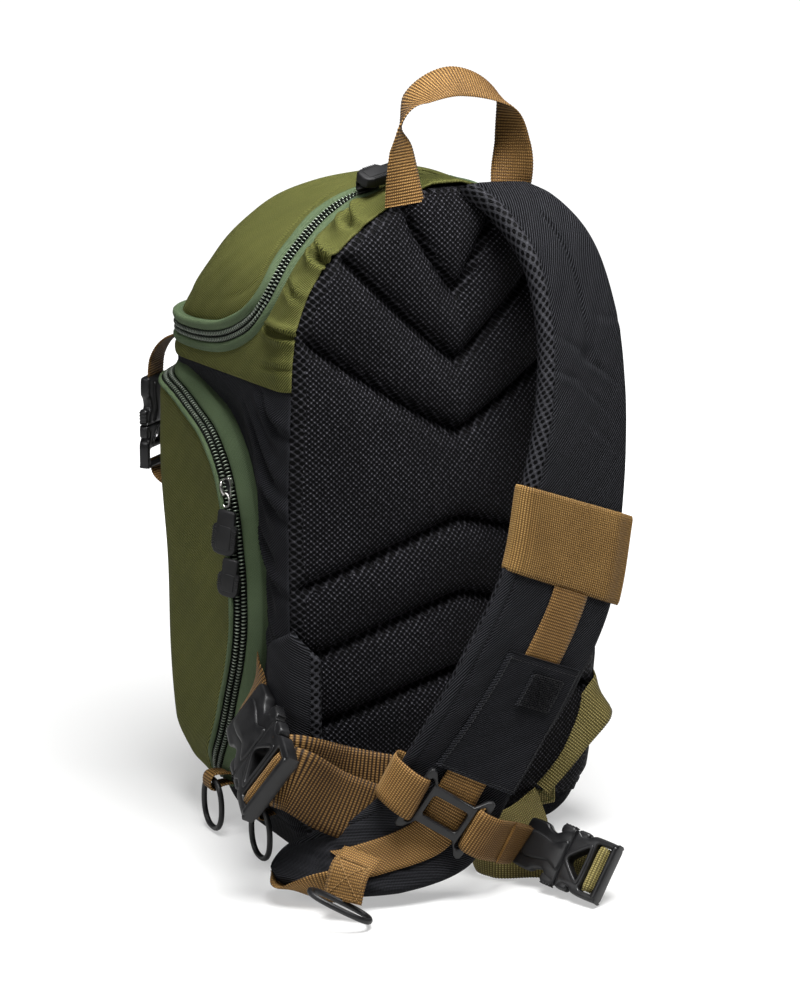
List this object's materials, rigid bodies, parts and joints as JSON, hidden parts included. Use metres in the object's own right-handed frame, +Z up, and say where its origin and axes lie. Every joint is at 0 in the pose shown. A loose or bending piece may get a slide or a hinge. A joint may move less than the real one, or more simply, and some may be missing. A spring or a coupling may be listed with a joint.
{
  "type": "fishing rucksack",
  "caption": "Standing sling-style fishing rucksack with a domed zip lid, a clamshell front pocket, a padded mesh back, one padded shoulder strap and buckled webbing straps.",
  "frame": {"origin": "middle of the base, on the floor it stands on", "axes": "+Z up; the harness side faces -Y; +X is to the right of a viewer looking at the harness"},
  "size_m": [0.2805, 0.3506, 0.4828],
  "materials": {
    "olive_cloth": "woven nylon, matt",
    "black_cloth": "woven nylon twill, matt",
    "air_mesh": "knitted spacer mesh over foam",
    "zip_tape": "coated zip tape, smooth",
    "zip_coil": "moulded coil teeth",
    "tan_webbing": "ribbed polyester webbing",
    "olive_webbing": "ribbed polyester webbing",
    "black_plastic": "moulded acetal, fine grain",
    "pull_rubber": "moulded soft rubber",
    "slider_metal": "cast zip slider"
  },
  "bodies": {
    "root": {"base": "black_cloth", "side_wall": "black_cloth", "upper_band": "olive_cloth", "lid": "olive_cloth", "lid_zip_tape": "zip_tape", "lid_zip_coil": "zip_coil", "lid_slider": "slider_metal", "lid_pull": "pull_rubber", "front_pocket": "olive_cloth", "pocket_zip_tape": "zip_tape", "pocket_zip_coil": "zip_coil", "pocket_slider": "slider_metal", "pocket_pull_upper": "pull_rubber", "pocket_pull_lower": "pull_rubber", "back_panel": "air_mesh", "wing_left": "black_cloth", "grab_handle": "tan_webbing", "shoulder_strap": "black_cloth", "elastic_band": "tan_webbing", "strap_pocket": "black_cloth", "hook_patch": "black_cloth", "strap_webbing_upper": "tan_webbing", "strap_webbing_lower": "tan_webbing", "adjuster_slide": "black_plastic", "cross_webbing": "tan_webbing", "strap_end_wrap": "tan_webbing", "ring_tab": "tan_webbing", "strap_ring": "black_plastic", "left_anchor": "tan_webbing", "left_buckle_socket": "black_plastic", "left_buckle_plug": "black_plastic", "left_webbing_fold": "tan_webbing", "left_webbing_front": "tan_webbing", "left_webbing_rear": "tan_webbing", "right_buckle_socket": "black_plastic", "right_buckle_plug": "black_plastic", "right_webbing_fold": "olive_webbing", "right_webbing": "olive_webbing", "side_tab": "olive_webbing", "side_loop": "olive_webbing", "ring_front": "black_plastic", "ring_loop_front": "tan_webbing", "ring_back": "black_plastic", "ring_loop_back": "tan_webbing", "front_webbing": "tan_webbing", "front_webbing_lower": "tan_webbing", "front_buckle_socket": "black_plastic", "front_buckle_plug": "black_plastic"}
  },
  "joints": []
}
